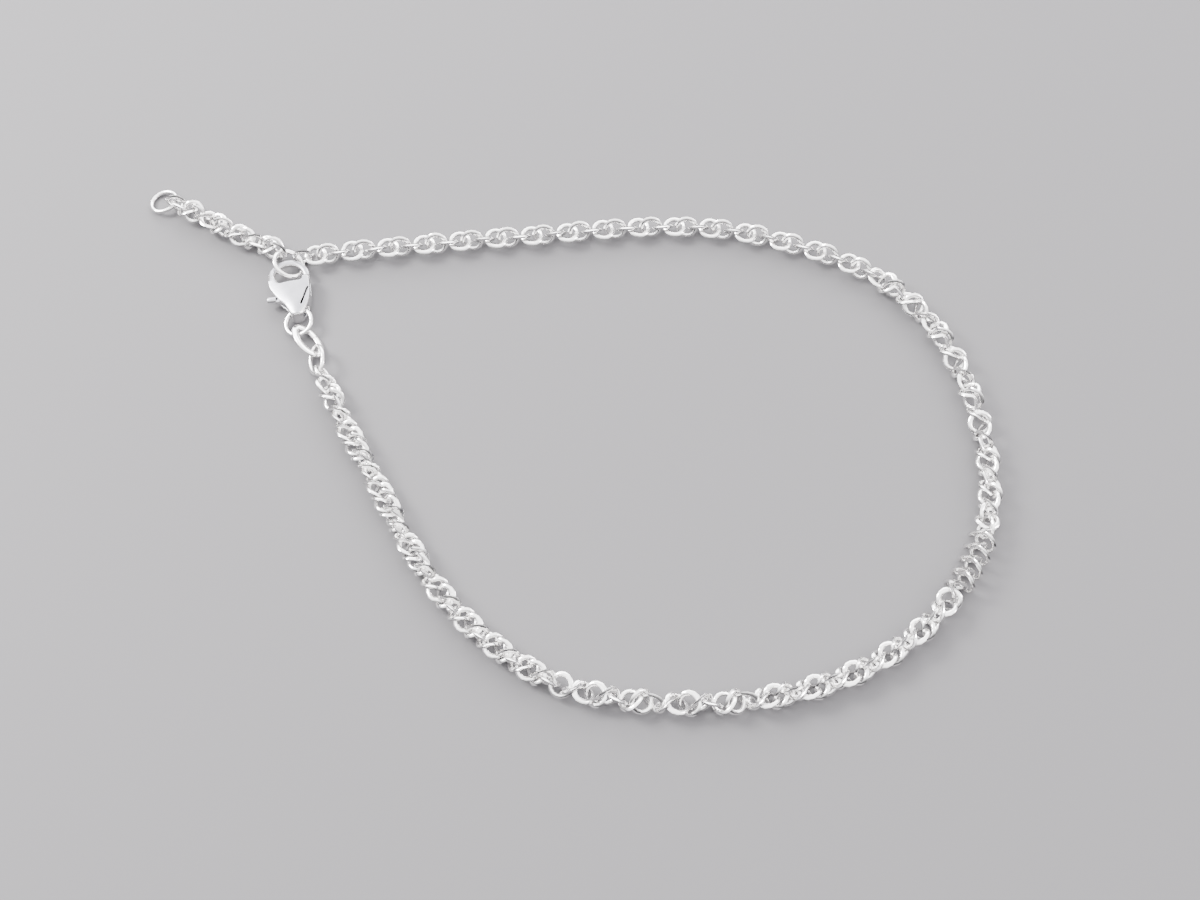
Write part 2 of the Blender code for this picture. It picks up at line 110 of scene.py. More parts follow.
def link_places(curve, stretches, first_roll):
    """Place, roll, twist and lean of every link, spread so that the stretches fill the curve."""
    lengths = [0.0]
    for a, b in zip(curve, curve[1:]):
        lengths.append(lengths[-1] + (b - a).length)
    total = sum(times * length for times, length, *_ in stretches)
    fit = lengths[-1] / total
    places = []
    at, roll, side, k = 0.0, first_roll, 1, 0
    for times, length, count, turned, twist, lean, aside in stretches:
        for _ in range(times * count):
            while k < len(curve) - 2 and lengths[k + 1] < at:
                k += 1
            share = (at - lengths[k]) / (lengths[k + 1] - lengths[k])
            point = curve[k].lerp(curve[k + 1], share)
            ahead = (curve[k + 1] - curve[k]).normalized()
            seen = math.degrees(math.atan(WAIST_TILT * ahead.x))
            point += Vector((-ahead.y, ahead.x)) * (side * aside)
            places.append((point, roll + seen, twist, side * lean))
            at += fit * length / count
            roll += turned / count
            side = -side
    places.append((curve[-1], roll, twist, 0.0))
    return places


def add_node(tree, kind, inputs=None, **settings):
    """Node with its settings; an input takes a value or the output of another node."""
    made = tree.nodes.new(kind)
    for name, value in settings.items():
        setattr(made, name, value)
    for key, value in (inputs or {}).items():
        if isinstance(key, int):
            socket = made.inputs[key]
        else:
            socket = next(s for s in made.inputs if s.name == key and s.enabled)
        if isinstance(value, bpy.types.NodeSocket):
            tree.links.new(value, socket)
        else:
            socket.default_value = value
    return made


def out(made, name=None):
    """Named output of a node, or its first one in use."""
    return next(s for s in made.outputs if s.enabled and name in (None, s.name))


def named_tree(name, sizes):
    """Empty Geometry Nodes tree with its geometry sockets and one named input for each size."""
    tree = bpy.data.node_groups.new(name, "GeometryNodeTree")
    tree.interface.new_socket(name="Geometry", in_out="INPUT", socket_type="NodeSocketGeometry")
    tree.interface.new_socket(name="Geometry", in_out="OUTPUT", socket_type="NodeSocketGeometry")
    for label, kind in sizes:
        tree.interface.new_socket(name=label, in_out="INPUT", socket_type=f"NodeSocket{kind}")
    return tree


def named_value(tree, name, kind="FLOAT"):
    """Value of a named attribute."""
    stored = add_node(tree, "GeometryNodeInputNamedAttribute", {"Name": name}, data_type=kind)
    return out(stored, "Attribute")


def chain_tree():
    """Links at the points of a line: a wire ring at each, rolled, leant and given its twist."""
    tree = named_tree("links along the chain", [
        ("Outer Diameter", "Float"), ("Wire", "Float"), ("Flattening", "Float"), ("Segments", "Int"),
        ("Sides", "Int"), ("Jitter", "Float"), ("Seed", "Int"), ("Material", "Material")])
    given = add_node(tree, "NodeGroupInput")
    sizes = given.outputs
    line = add_node(tree, "GeometryNodeMeshToCurve", {"Mesh": sizes["Geometry"]})
    tangent = add_node(tree, "GeometryNodeInputTangent")
    ahead = add_node(tree, "FunctionNodeAlignRotationToVector", {"Vector": out(tangent)},
                     axis="X", pivot_axis="Z")

    # Roll about the chain's line, then lean, each with a little play of its own
    loose = []
    for offset in (0, 1):
        seed = add_node(tree, "ShaderNodeMath", {0: sizes["Seed"], 1: float(offset)}, operation="ADD")
        low = add_node(tree, "ShaderNodeMath", {0: sizes["Jitter"], 1: -1.0},
                       operation="MULTIPLY")
        loose.append(out(add_node(tree, "FunctionNodeRandomValue", {
            "Min": out(low), "Max": sizes["Jitter"], "Seed": out(seed)}, data_type="FLOAT")))
    roll = add_node(tree, "ShaderNodeMath", {0: named_value(tree, "roll"), 1: loose[0]},
                    operation="ADD")
    lean = add_node(tree, "ShaderNodeMath", {0: named_value(tree, "lean"), 1: loose[1]},
                    operation="ADD")
    roll_turn = add_node(tree, "ShaderNodeCombineXYZ", {"X": out(roll)})
    lean_turn = add_node(tree, "ShaderNodeCombineXYZ", {"Y": out(lean)})
    rolled = add_node(tree, "FunctionNodeRotateRotation", {
        "Rotation": out(ahead), "Rotate By": out(roll_turn)}, rotation_space="LOCAL")
    leant = add_node(tree, "FunctionNodeRotateRotation", {
        "Rotation": out(rolled), "Rotate By": out(lean_turn)}, rotation_space="LOCAL")
    turned = add_node(tree, "GeometryNodeStoreNamedAttribute", {
        "Geometry": out(line), "Name": "turn", "Value": out(leant)},
                      data_type="QUATERNION", domain="POINT")

    # One link: a round wire on a circle, pressed a little flat
    across = add_node(tree, "ShaderNodeMath", {
        0: sizes["Outer Diameter"], 1: sizes["Wire"]}, operation="SUBTRACT")
    radius = add_node(tree, "ShaderNodeMath", {0: out(across), 1: 0.5}, operation="MULTIPLY")
    wire_radius = add_node(tree, "ShaderNodeMath", {0: sizes["Wire"], 1: 0.5},
                           operation="MULTIPLY")
    circle = add_node(tree, "GeometryNodeCurvePrimitiveCircle", {
        "Resolution": sizes["Segments"], "Radius": out(radius)})
    section = add_node(tree, "GeometryNodeCurvePrimitiveCircle", {
        "Resolution": sizes["Sides"], "Radius": out(wire_radius)})
    wire = add_node(tree, "GeometryNodeCurveToMesh", {
        "Curve": out(circle), "Profile Curve": out(section)})
    pressed = add_node(tree, "ShaderNodeCombineXYZ", {
        "X": 1.0, "Y": 1.0, "Z": sizes["Flattening"]})
    link = add_node(tree, "GeometryNodeTransform", {"Geometry": out(wire), "Scale": out(pressed)})
    here = add_node(tree, "GeometryNodeInputPosition")
    marked = add_node(tree, "GeometryNodeStoreNamedAttribute", {
        "Geometry": out(link), "Name": "place", "Value": out(here)},
                      data_type="FLOAT_VECTOR", domain="POINT")

    placed = add_node(tree, "GeometryNodeInstanceOnPoints", {
        "Points": out(turned), "Instance": out(marked),
        "Rotation": named_value(tree, "turn", "QUATERNION")})
    whole = add_node(tree, "GeometryNodeRealizeInstances", {"Geometry": out(placed)})

    # Each link's own twist: its front end turns one way about the chain's line, its back the other
    place = named_value(tree, "place", "FLOAT_VECTOR")
    along = add_node(tree, "ShaderNodeSeparateXYZ", {"Vector": place})
    share = add_node(tree, "ShaderNodeMath", {0: along.outputs["X"], 1: out(radius)},
                     operation="DIVIDE")
    angle = add_node(tree, "ShaderNodeMath", {0: out(share), 1: named_value(tree, "twist")},
                     operation="MULTIPLY")
    bent = add_node(tree, "ShaderNodeVectorRotate", {"Vector": place, "Angle": out(angle)},
                    rotation_type="X_AXIS")
    change = add_node(tree, "ShaderNodeVectorMath", {0: out(bent), 1: place}, operation="SUBTRACT")
    offset = add_node(tree, "FunctionNodeRotateVector", {
        "Vector": out(change), "Rotation": named_value(tree, "turn", "QUATERNION")})
    twisted = add_node(tree, "GeometryNodeSetPosition", {"Geometry": out(whole), "Offset": out(offset)})

    last = twisted
    for name in ("turn", "roll", "lean", "twist"):
        last = add_node(tree, "GeometryNodeRemoveAttribute", {"Geometry": out(last), "Name": name})
    finish = add_node(tree, "GeometryNodeSetMaterial", {
        "Geometry": out(last), "Material": sizes["Material"]})
    add_node(tree, "NodeGroupOutput", {"Geometry": out(finish)})
    return tree


def mesh_from_tree(name, points, tree, sizes):
    """Plain mesh of what a tree makes from a line of points that carry roll, twist and lean."""
    line = bpy.data.meshes.new(f"{name}_line")
    spots = [(place.x * MM, place.y * MM, LINK_HEIGHT * MM) for place, *_ in points]
    line.from_pydata(spots, [(i, i + 1) for i in range(len(spots) - 1)], [])
    for column, label in ((1, "roll"), (2, "twist"), (3, "lean")):
        values = line.attributes.new(label, "FLOAT", "POINT")
        values.data.foreach_set("value", [math.radians(row[column]) for row in points])
    guide = bpy.data.objects.new(f"{name}_guide", line)
    bpy.context.scene.collection.objects.link(guide)
    nodes = guide.modifiers.new("links", "NODES")
    nodes.node_group = tree
    for item in tree.interface.items_tree:
        if item.in_out == "INPUT" and item.name in sizes:
            nodes[item.identifier] = sizes[item.name]
    bpy.context.view_layer.update()
    mesh = bpy.data.meshes.new_from_object(guide.evaluated_get(bpy.context.evaluated_depsgraph_get()))
    bpy.data.objects.remove(guide)
    return finished_piece(name, mesh)


def finished_piece(name, mesh):
    """Object for a finished mesh, with its faces turned outwards and its round parts smooth."""
    bm = bmesh.new()
    bm.from_mesh(mesh)
    bmesh.ops.recalc_face_normals(bm, faces=bm.faces)
    bm.to_mesh(mesh)
    bm.free()
    mesh.shade_smooth()
    mesh.set_sharp_from_angle(angle=math.radians(SHARP_DEG))
    mesh.name = name
    piece = bpy.data.objects.new(name, mesh)
    bpy.context.scene.collection.objects.link(piece)
    return piece


def silver(name, color, roughness, wear, grain):
    """Polished silver: faint smears in its gloss, fine scratches, and a dull tone where it is worn.
    grain is the size of the scratches in millimetres."""
    material = bpy.data.materials.new(name)
    material.use_nodes = True
    tree = material.node_tree
    shader = tree.nodes["Principled BSDF"]
    shader.inputs["Metallic"].default_value = 1.0
    coords = add_node(tree, "ShaderNodeTexCoord")
    smears = add_node(tree, "ShaderNodeTexNoise", {
        "Vector": coords.outputs["Object"], "Scale": 420.0, "Detail": 3.0, "Roughness": 0.55})
    tone = add_node(tree, "ShaderNodeValToRGB", {"Fac": out(smears)})
    tone.color_ramp.elements[0].position = 0.3
    tone.color_ramp.elements[0].color = (*[value * (1 - wear) for value in color], 1)
    tone.color_ramp.elements[1].position = 0.62
    tone.color_ramp.elements[1].color = (*color, 1)
    tree.links.new(out(tone), shader.inputs["Base Color"])
    gloss = add_node(tree, "ShaderNodeMapRange", {
        "Value": out(smears), "From Min": 0.3, "From Max": 0.7,
        "To Min": roughness * 1.5, "To Max": roughness * 0.7})
    tree.links.new(out(gloss), shader.inputs["Roughness"])
    stretched = add_node(tree, "ShaderNodeMapping", {
        "Vector": coords.outputs["Object"], "Rotation": (0.3, 0.2, 0.7), "Scale": (1.0, 4.0, 1.0)})
    scratches = add_node(tree, "ShaderNodeTexNoise", {
        "Vector": out(stretched), "Scale": 1.0 / (grain * MM), "Detail": 2.0, "Roughness": 0.6})
    bump = add_node(tree, "ShaderNodeBump", {
        "Height": out(scratches), "Strength": 0.12, "Distance": 0.02 * MM})
    tree.links.new(out(bump), shader.inputs["Normal"])
    return material


chain_silver = silver("chain_silver", (0.97, 0.96, 0.95), 0.14, 0.06, 0.05)
links_tree = chain_tree()
link_sizes = {"Outer Diameter": LINK_OUTER * MM, "Wire": LINK_WIRE * MM, "Flattening": LINK_FLATTENING,
              "Segments": LINK_SEGMENTS, "Sides": LINK_SIDES, "Jitter": math.radians(LINK_JITTER_DEG),
              "Seed": CHAIN_SEED, "Material": chain_silver}
chain_places = link_places(smooth_route(CHAIN_ROUTE), CHAIN_STRETCHES, WAIST_ROLL_DEG)
main_chain = mesh_from_tree("chain_links", chain_places, links_tree, link_sizes)
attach(main_chain, "anklet")
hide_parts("main_chain")


# Tail
# A short extender of the same chain, pushed together, between the ring at its root and the ring
# at its free end.  Its links lean to one side and the other in turn.
TAIL_FIRST_ROLL_DEG = 92.86
TAIL_TURN_DEG = 723.0
TAIL_LEAN_DEG = -16.86
TAIL_TWIST_DEG = -17.81
TAIL_JITTER_DEG = 0.8
TAIL_WIRE = 0.54


def centre_of(node):
    """Centre of a closed link in millimetres, which is the mean of its solid's corners."""
    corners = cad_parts[node].data.vertices
    return sum((corner.co for corner in corners), Vector()) / len(corners) / MM


tail_nodes = sorted(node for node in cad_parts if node.startswith("tail_link_"))
tail_places = []
for i, node in enumerate(tail_nodes):
    roll = TAIL_FIRST_ROLL_DEG + TAIL_TURN_DEG * i / (len(tail_nodes) - 1)
    lean = TAIL_LEAN_DEG if i % 2 == 0 else -TAIL_LEAN_DEG
    tail_places.append((centre_of(node), roll, TAIL_TWIST_DEG, lean))
tail_sizes = dict(link_sizes, Wire=TAIL_WIRE * MM, Jitter=math.radians(TAIL_JITTER_DEG))
tail = mesh_from_tree("tail_links", tail_places, links_tree, tail_sizes)
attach(tail, "anklet")
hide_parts(*tail_nodes)


# Rings and links
# Jump rings and links of drawn silver wire: a round ring at the tail's end, one that the clasp's
# hook holds, one in the clasp's eye, then a flat-rolled oval, a wire oval and a small link that
# leads into the chain.  Each is bent from wire, and its butted ends show as a fine line.
RING_SEGMENTS = 96
RING_SIDES = 20
CUT_WIDTH_DEG = 1.1
CUT_DEPTH = 0.16
CUT_REACH = 0.8
CUT_STOPS = (-1.2, -0.4, 0.0, 0.4, 1.2)


def wire_ring(name, centre, turn, length, width, band, thickness, squareness, cut_deg):
    """Ring or oval link of wire; band is its wire's width in its plane, thickness across it."""
    half_length = (length - band) / 2
    half_width = (width - band) / 2
    stops = [360 * i / RING_SEGMENTS + 0.5 for i in range(RING_SEGMENTS)]
    stops = [stop for stop in stops if abs((stop - cut_deg + 180) % 360 - 180) > 2 * CUT_WIDTH_DEG]
    stops += [(cut_deg + share * CUT_WIDTH_DEG) % 360 for share in CUT_STOPS]
    bm = bmesh.new()
    loops = []
    for stop in sorted(stops):
        turn_at = math.radians(stop)
        middle = Vector((half_length * math.cos(turn_at), half_width * math.sin(turn_at), 0))
        outward = Vector((half_width * math.cos(turn_at), half_length * math.sin(turn_at), 0))
        outward.normalize()
        away = abs((stop - cut_deg + 180) % 360 - 180)
        size = 1 - CUT_DEPTH * max(0.0, 1 - away / (CUT_REACH * CUT_WIDTH_DEG))
        loop = []
        for k in range(RING_SIDES):
            angle = 2 * math.pi * (k + 0.5) / RING_SIDES
            bulge = size / max(abs(math.cos(angle)), abs(math.sin(angle))) ** squareness
            offset = outward * (band / 2 * math.cos(angle) * bulge)
            offset.z = thickness / 2 * math.sin(angle) * bulge
            loop.append(bm.verts.new(middle + offset))
        loops.append(loop)
    for here, there in zip(loops, loops[1:] + loops[:1]):
        for k in range(RING_SIDES):
            j = (k + 1) % RING_SIDES
            bm.faces.new((here[k], here[j], there[j], there[k]))
    lie = Euler([math.radians(value) for value in turn]).to_matrix().to_4x4()
    bm.transform(Matrix.Scale(MM, 4) @ Matrix.Translation(centre) @ lie)
    mesh = bpy.data.meshes.new(name)
    bm.to_mesh(mesh)
    bm.free()
    return finished_piece(name, mesh)


def middle_of(node):
    """Middle of a node's box in millimetres."""
    low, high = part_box(node)
    return (low + high) / 2 / MM


ring_silver = silver("ring_silver", (0.96, 0.95, 0.94), 0.15, 0.08, 0.12)
# Node, turn in degrees, length, width, band, thickness, squareness of the wire, where its cut lies
RINGS = [
    ("end_ring", (0, -12, -24), 3.86, 3.86, 0.55, 0.51, 0.0, 200),
    ("middle_ring", (0, -30.3, 184), 4.3, 4.3, 0.6, 0.6, 0.0, 150),
    ("clasp_ring", (0.3, -16.4, 29.7), 3.9, 3.9, 0.55, 0.51, 0.0, 330),
    ("connector_link", (-31.1, 1.9, -54.0), 5.5, 3.3, 0.85, 0.46, 0.3, 95),
    ("second_link", (44.5, 0.6, -80.7), 4.3, 3.0, 0.55, 0.55, 0.0, 80),
    ("chain_end_link", (-48.3, 0, -52.0), 2.5, 1.9, 0.4, 0.4, 0.0, 270),
]
for node, *lie_and_size in RINGS:
    ring = wire_ring(f"{node}_wire", middle_of(node), *lie_and_size)
    ring.data.materials.append(ring_silver)
    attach(ring, "anklet")
    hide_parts(node)


# Clasp
# A cast silver lobster clasp: a pear-shaped body with a hook, satin on its faces and polished on
# its rounded edges, and a sprung lever between two cheeks, riveted on a hidden pin.
CLASP_AT = (-31.17, 15.66)
CLASP_TURN_DEG = 13.2
BODY_THICKNESS = 2.4
BODY_WIDTH = 5.2
BODY_LENGTH = 8.05
BODY_EDGE = 0.5
BODY_EDGE_STEPS = 8
BODY_EDGE_FROM_DEG = 50
FACE_DOME = 0.3
DOME_STARTS = 0.45
FLOOR_Y = 4.3
FLOOR_CORNER = 0.7
GATE_CORNER = 0.5
SHOULDER_Y = 5.1
CHEEK_Y = 4.9
HOOK_CENTRE = (-0.45, 5.55)
HOOK_RADIUS = 2.15
HOOK_WIDTH = 0.82
HOOK_THICKNESS = 0.86
HOOK_SIDES = 32
HOOK_SQUARENESS = 0.3
HOOK_STEPS = 5
EYE_Y = 0.36
EYE_RADIUS = 0.76
PIVOT = (0.45, 2.15)
LEVER_THICKNESS = 0.6
LEVER_PLAY = 0.07
HUB_RADIUS = 0.6
GATE_SLIT = 0.11
GATE_SWELL = 0.4
GATE_SWELL_FROM = 2.8
GATE_SWELL_OVER = 0.25
GATE_IN = 0.75
GATE_OUT = 1.55
BAR_LENGTH = 2.9
BAR_WIDTH = 0.93
NUB_TURN_DEG = -7.0
NUB_LIFT = 0.116
SLIT_WIDTH = 0.22
SLIT_EDGE = 0.06
# Painted shade in the slit: below this depth its walls are painted nearly black, standing in for the
# shade of the narrow cut
SLIT_SHADE_FROM = 0.3
SLIT_PAINTED_SHADE = (0.02, 0.02, 0.022, 1)
EDGE_NORMAL = 0.72
FACE_NORMAL = 0.97
OUTLINE_STEPS = 6
CORNER_STEPS = 8
NUB_STEPS = 4
NUB_SIDES = 32
CUTTER_SPARE = 1.0
BODY_VOXEL = 0.055
BODY_SMOOTHING = 8
LEVER_VOXEL = 0.04
LEVER_SMOOTHING = 6
BODY_POLISH = 1.0
LEVER_POLISH = 0.8

# Outline of the body from its neck up: along, left, right, as shares of its length and width
BODY_ROWS = [
    (-0.070, -0.135, 0.085), (-0.040, -0.178, 0.125), (0.048, -0.215, 0.214), (0.150, -0.277, 0.288),
    (0.235, -0.370, 0.328), (0.330, -0.455, 0.354), (0.450, -0.538, 0.370), (0.520, -0.572, 0.376),
]
# Hook from root to tip: degrees round its circle, then width and thickness as shares
HOOK_ROWS = [
    (208, 1.62, 2.79), (198, 1.50, 2.79), (188, 1.38, 2.68), (178, 1.27, 2.36), (168, 1.17, 1.92),
    (158, 1.09, 1.52), (147, 1.04, 1.22), (135, 1.02, 1.06), (120, 1.00, 0.99), (90, 1.00, 0.95),
    (60, 1.00, 0.92), (30, 0.99, 0.88), (10, 0.98, 0.84), (-5, 0.96, 0.82),
]
# Slot for the lever from the pivot, and ends of the slit from the neck: shares of width and length
SLOT_ROWS = [
    (0.423, 0.118), (0.423, 0.400), (0.050, 0.400), (0.010, 0.323), (-0.019, 0.149), (-0.577, 0.159),
    (-0.885, 0.168), (-0.885, -0.217), (-0.462, -0.161), (-0.058, -0.089), (0.067, -0.084),
    (0.138, -0.019),
]
SLIT_ROWS = [(0.100, 0.089), (0.325, 0.398)]
# Gate's sides rising from the hub, then the thumb bar out along its top and back underneath
GATE_OUTER_ROWS = [(0.613, 0.225), (0.839, 0.480), (0.968, 0.690)]
GATE_INNER_ROWS = [(0.987, 0.705), (0.693, 0.450)]
BAR_ROWS = [(-0.034, 0.860), (-0.655, 1.000), (-1.000, 1.054), (-1.000, 0.054), (-0.655, -0.215)]
# Thumb nub from its root beside the flank to its tip: distance from the pivot, radius
NUB_ROWS = [(-2.86, 0.34), (-2.90, 0.44), (-2.98, 0.48), (-3.30, 0.48), (-3.65, 0.46), (-3.92, 0.41),
            (-4.06, 0.32), (-4.13, 0.18)]

clasp_lie = (Matrix.Translation(Vector((*CLASP_AT, 0)) * MM)
             @ Matrix.Rotation(math.radians(CLASP_TURN_DEG), 4, "Z"))
body_middle = BODY_THICKNESS / 2


def shape(name, bm):
    """Working object for a bmesh in millimetres of the clasp's own frame."""
    bmesh.ops.recalc_face_normals(bm, faces=bm.faces)
    mesh = bpy.data.meshes.new(name)
    bm.to_mesh(mesh)
    bm.free()
    obj = bpy.data.objects.new(name, mesh)
    bpy.context.scene.collection.objects.link(obj)
    return obj


def prism(outline, low, high):
    """Outline raised into a solid between two heights."""
    bm = bmesh.new()
    face = bm.faces.new([bm.verts.new((x, y, low)) for x, y in outline])
    grown = bmesh.ops.extrude_face_region(bm, geom=[face])
    rise = [item for item in grown["geom"] if isinstance(item, bmesh.types.BMVert)]
    bmesh.ops.translate(bm, verts=rise, vec=(0, 0, high - low))
    return bm


def round_bar(start, end, radius, sides=48):
    """Round bar between two points."""
    start, end = Vector(start), Vector(end)
    bm = bmesh.new()
    bmesh.ops.create_cone(bm, cap_ends=True, segments=sides, radius1=radius, radius2=radius,
                          depth=(end - start).length)
    turn = (end - start).to_track_quat("Z", "Y").to_matrix().to_4x4()
    bmesh.ops.transform(bm, matrix=Matrix.Translation((start + end) / 2) @ turn, verts=bm.verts)
    return bm


def loft(sections):
    """Closed skin through sections of equally many points."""
    bm = bmesh.new()
    loops = [[bm.verts.new(point) for point in section] for section in sections]
    for lower, upper in zip(loops, loops[1:]):
        for i in range(len(lower)):
            j = (i + 1) % len(lower)
            bm.faces.new((lower[i], lower[j], upper[j], upper[i]))
    bm.faces.new(loops[0])
    bm.faces.new(loops[-1])
    return bm


def boolean(obj, other, operation):
    """Modifier that joins one working object to another or cuts it."""
    cut = obj.modifiers.new(other.name, "BOOLEAN")
    cut.operation = operation
    cut.object = other
    cut.solver = "EXACT"


def softened(obj, voxel, rounds, helpers):
    """Mesh of a working object with its cuts made, remeshed finely and its edges softened."""
    remesh = obj.modifiers.new("fine skin", "REMESH")
    remesh.mode = "VOXEL"
    remesh.voxel_size = voxel
    soft = obj.modifiers.new("soft edges", "SMOOTH")
    soft.factor = 0.5
    soft.iterations = rounds
    bpy.context.view_layer.update()
    mesh = bpy.data.meshes.new_from_object(obj.evaluated_get(bpy.context.evaluated_depsgraph_get()))
    for spare in (obj, *helpers):
        bpy.data.objects.remove(spare)
    return mesh


def body_outline():
    """Outline of the body up to the floor of the hook's opening, with rounded floor corners."""
    right = smooth_route([(r * BODY_WIDTH, a * BODY_LENGTH) for a, _, r in BODY_ROWS],
                         OUTLINE_STEPS)
    left = smooth_route([(l * BODY_WIDTH, a * BODY_LENGTH) for a, l, _ in BODY_ROWS],
                        OUTLINE_STEPS)
    wall = HOOK_CENTRE[0] - HOOK_RADIUS
    inner = wall + HOOK_WIDTH / 2
    beside = PIVOT[0] + GATE_IN
    top = [(right[-1].x, CHEEK_Y), (beside, CHEEK_Y)]
    quarter = [math.pi / 2 * i / CORNER_STEPS for i in range(CORNER_STEPS + 1)]
    top += [(beside - GATE_CORNER * (1 - math.cos(angle)),
             FLOOR_Y + GATE_CORNER * (1 - math.sin(angle))) for angle in quarter[1:]]
    top += [(inner + FLOOR_CORNER * (1 - math.sin(angle)),
             FLOOR_Y + FLOOR_CORNER * (1 - math.cos(angle))) for angle in quarter]
    top += [(inner, SHOULDER_Y), (wall - HOOK_WIDTH / 2, SHOULDER_Y)]
    return [tuple(p) for p in right] + top + [tuple(p) for p in reversed(left)]


def hook_sections():
    """Rounded sections of the hook, its rows drawn out smoothly."""
    rows = smooth_route([Vector(row) for row in HOOK_ROWS], HOOK_STEPS)
    sections = []
    for row, (degrees, wide, thick) in enumerate(rows):
        angle = math.radians(degrees)
        centre = Vector((HOOK_CENTRE[0] + HOOK_RADIUS * math.cos(angle),
                         HOOK_CENTRE[1] + HOOK_RADIUS * math.sin(angle), body_middle))
        across = Vector((math.cos(angle), math.sin(angle), 0))
        if row == len(rows) - 1:
            arm = centre - Vector((*PIVOT, body_middle))
            across = Vector((arm.y, -arm.x, 0)).normalized()
        section = []
        for k in range(HOOK_SIDES):
            turn = 2 * math.pi * (k + 0.5) / HOOK_SIDES
            bulge = 1 / max(abs(math.cos(turn)), abs(math.sin(turn))) ** HOOK_SQUARENESS
            section.append(centre + across * (HOOK_WIDTH * wide / 2 * math.cos(turn) * bulge)
                           + Vector((0, 0, HOOK_THICKNESS * thick / 2 * math.sin(turn) * bulge)))
        sections.append(section)
    return sections


def body_point(across, along, start=(0, 0)):
    """Point given as shares of the body's width and length."""
    return Vector(start) + Vector((across * BODY_WIDTH, along * BODY_LENGTH))


def body_mesh():
    """Body with its hook joined on and its slot, eye and slit cut."""
    body = shape("body", prism(body_outline(), 0, BODY_THICKNESS))
    edge = body.modifiers.new("rounded edges", "BEVEL")
    edge.width = BODY_EDGE
    edge.segments = BODY_EDGE_STEPS
    edge.limit_method = "ANGLE"
    edge.angle_limit = math.radians(BODY_EDGE_FROM_DEG)
    half_slot = LEVER_THICKNESS / 2 + LEVER_PLAY
    low, high = (body_point(*row) for row in SLIT_ROWS)
    aside = (high - low).normalized().orthogonal() * (SLIT_WIDTH / 2)
    hook = shape("hook", loft(hook_sections()))
    slot_outline = [body_point(*row, PIVOT) for row in SLOT_ROWS]
    slot = shape("slot", prism(slot_outline, body_middle - half_slot, body_middle + half_slot))
    eye_ends = [(across, EYE_Y, body_middle) for across in (-BODY_WIDTH, BODY_WIDTH)]
    eye = shape("eye", round_bar(*eye_ends, EYE_RADIUS))
    slit_outline = [low - aside, high - aside, high + aside, low + aside]
    slit = shape("slit", prism(slit_outline, -CUTTER_SPARE, BODY_THICKNESS + CUTTER_SPARE))
    boolean(body, hook, "UNION")
    for cutter in (slot, eye, slit):
        boolean(body, cutter, "DIFFERENCE")
    return softened(body, BODY_VOXEL, BODY_SMOOTHING, (hook, slot, eye, slit))


def lever_outline():
    """Lever seen from above, relative to its pivot: gate, hub and the root of the thumb bar."""
    tip_angle = math.radians(HOOK_ROWS[-1][0])
    tip = Vector((HOOK_CENTRE[0] + HOOK_RADIUS * math.cos(tip_angle),
                  HOOK_CENTRE[1] + HOOK_RADIUS * math.sin(tip_angle)))
    reach = (tip - Vector(PIVOT)).length - GATE_SLIT
    hub = [(HUB_RADIUS * math.cos(angle), HUB_RADIUS * math.sin(angle))
           for angle in (-math.pi / 2, -math.pi / 4, 0.0)]
    outer = [(across * GATE_OUT, up * reach) for across, up in GATE_OUTER_ROWS]
    top = [(x, math.sqrt(reach ** 2 - x ** 2)) for x in (GATE_OUT, (GATE_OUT + GATE_IN) / 2, GATE_IN)]
    inner = [(across * GATE_IN, up * reach) for across, up in GATE_INNER_ROWS]
    bar = [(along * BAR_LENGTH, across * BAR_WIDTH) for along, across in BAR_ROWS]
    under = HUB_RADIUS * math.sqrt(0.5)
    return [*hub, *outer, *top, *inner, *bar, (-under, -under)]


def lever_mesh():
    """Lever with its gate swelling to the hook's thickness and a rounded rod for the thumb."""
    lever = shape("lever", prism(lever_outline(), -LEVER_THICKNESS / 2, LEVER_THICKNESS / 2))
    slope = Matrix.Rotation(math.radians(NUB_TURN_DEG), 3, "Z")
    rings = []
    for along, radius in smooth_route(NUB_ROWS, NUB_STEPS):
        turns = [2 * math.pi * k / NUB_SIDES for k in range(NUB_SIDES)]
        rings.append([slope @ Vector((along, radius * math.cos(turn), radius * math.sin(turn)))
                      + Vector((0, NUB_LIFT, 0)) for turn in turns])
    nub = shape("nub", loft(rings))
    boolean(lever, nub, "UNION")
    mesh = softened(lever, LEVER_VOXEL, LEVER_SMOOTHING, (nub,))
    for vertex in mesh.vertices:
        share = min(max((vertex.co.y - GATE_SWELL_FROM) / GATE_SWELL_OVER, 0.0), 1.0)
        vertex.co.z *= 1 + GATE_SWELL * share * share * (3 - 2 * share)
    return mesh


def dome_face(mesh):
    """Faces of the body fall away towards its flanks, as a filed casting's do."""
    rows = [Vector(row) for row in BODY_ROWS]
    for vertex in mesh.vertices:
        along = vertex.co.y / BODY_LENGTH
        lower = max([row for row in rows if row.x <= along] or rows[:1], key=lambda row: row.x)
        upper = min([row for row in rows if row.x > along] or rows[-1:], key=lambda row: row.x)
        share = (along - lower.x) / (upper.x - lower.x) if upper.x > lower.x else 0.0
        row = lower.lerp(upper, min(max(share, 0.0), 1.0))
        middle = (row.y + row.z) / 2 * BODY_WIDTH
        half = (row.z - row.y) / 2 * BODY_WIDTH
        aside = min(abs(vertex.co.x - middle) / half, 1.0)
        height = abs(vertex.co.z - body_middle)
        if height > DOME_STARTS:
            fall = FACE_DOME * aside * aside * (height - DOME_STARTS) / (body_middle - DOME_STARTS)
            vertex.co.z = body_middle + math.copysign(height - fall, vertex.co.z - body_middle)


